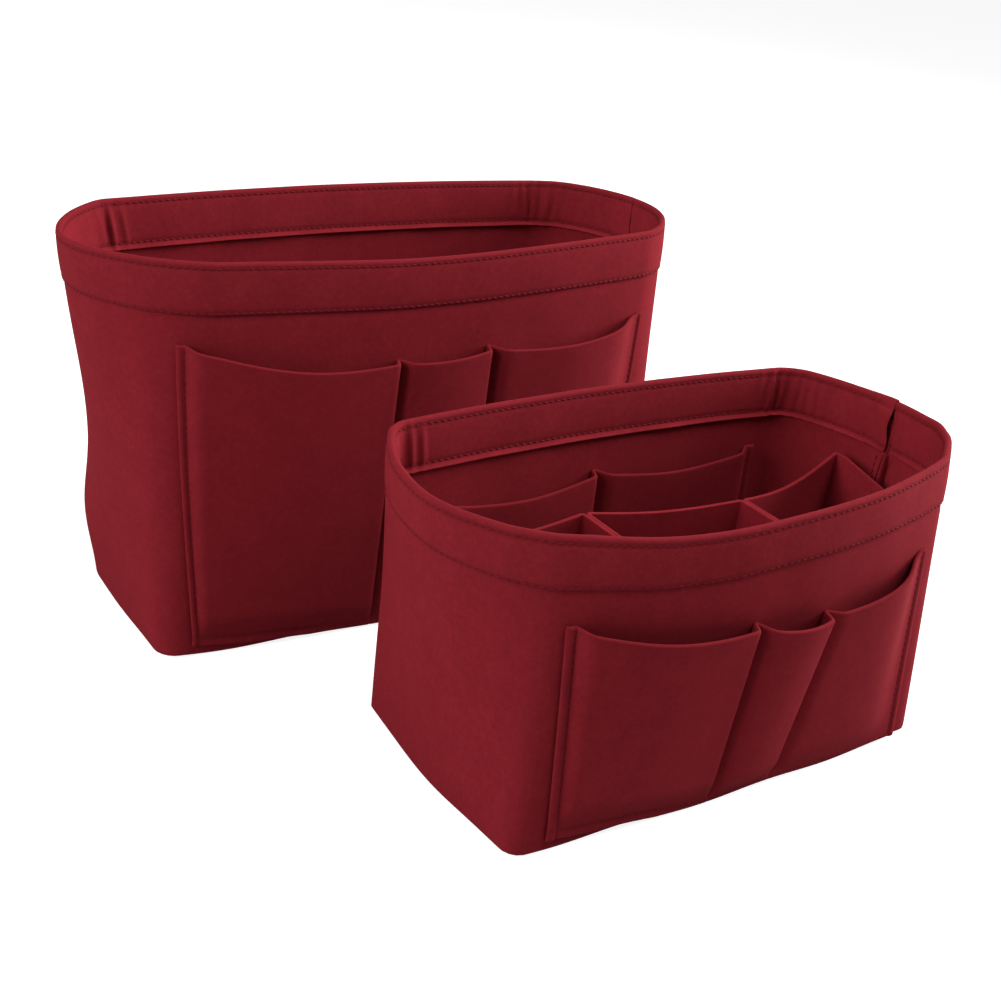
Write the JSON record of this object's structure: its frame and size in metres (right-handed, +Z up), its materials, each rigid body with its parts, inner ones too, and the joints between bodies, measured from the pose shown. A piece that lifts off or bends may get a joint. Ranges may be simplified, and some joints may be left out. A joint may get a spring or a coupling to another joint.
{
  "type": "felt makeup organizer set",
  "caption": "Large and small open-top felt organizers with a folded rim band, outside pockets and an inside divider strip, for standing in a bag or on a table.",
  "frame": {"origin": "on the surface that the set stands on, under the middle of the set's bounding box", "axes": "+X along the long walls, towards the end walls that are closed by a seam; +Y from the small organizer in front to the large one behind; +Z up"},
  "size_m": [0.359, 0.3632, 0.2035],
  "materials": {
    "wall_felt": "soft 3 mm polyester felt, crimson red, matt with a fine nap",
    "rim_felt": "smooth 1.6 mm felt binding, crimson red",
    "pocket_felt": "2 mm felt, crimson red",
    "thread": "sewing thread, dark red, 3.6 mm stitches"
  },
  "bodies": {
    "large_organizer": {"large_wall_band": "wall_felt", "large_bottom_panel": "wall_felt", "large_rim_band": "rim_felt", "large_divider_strip": "pocket_felt", "large_rim_top_stitch_outside": "thread", "large_rim_top_stitch_inside": "thread", "large_rim_lower_stitch_outside": "thread", "large_rim_lower_stitch_inside": "thread", "large_base_seam": "thread", "large_closing_seam": "thread", "large_front_pocket": "pocket_felt", "large_front_pocket_edge_stitch": "thread", "large_front_pocket_seam_1": "thread", "large_front_pocket_seam_2": "thread", "large_back_pocket": "pocket_felt", "large_back_pocket_edge_stitch": "thread", "large_back_pocket_seam_1": "thread", "large_back_pocket_seam_2": "thread", "large_inner_pocket": "pocket_felt", "large_inner_pocket_edge_stitch": "thread", "large_inner_pocket_seam_1": "thread"},
    "small_organizer": {"small_wall_band": "wall_felt", "small_bottom_panel": "wall_felt", "small_rim_band": "rim_felt", "small_divider_strip": "pocket_felt", "small_rim_top_stitch_outside": "thread", "small_rim_top_stitch_inside": "thread", "small_rim_lower_stitch_outside": "thread", "small_rim_lower_stitch_inside": "thread", "small_base_seam": "thread", "small_closing_seam": "thread", "small_front_pocket": "pocket_felt", "small_front_pocket_edge_stitch": "thread", "small_front_pocket_seam_1": "thread", "small_front_pocket_seam_2": "thread", "small_back_pocket": "pocket_felt", "small_back_pocket_edge_stitch": "thread", "small_back_pocket_seam_1": "thread", "small_back_pocket_seam_2": "thread", "small_inner_pocket": "pocket_felt", "small_inner_pocket_edge_stitch": "thread", "small_inner_pocket_seam_1": "thread"}
  },
  "joints": [
    {"name": "small_organizer_lift", "type": "slide", "parent": "large_organizer", "child": "small_organizer", "axis": [0, 0, 1], "range_m": [0, 0.25]}
  ]
}
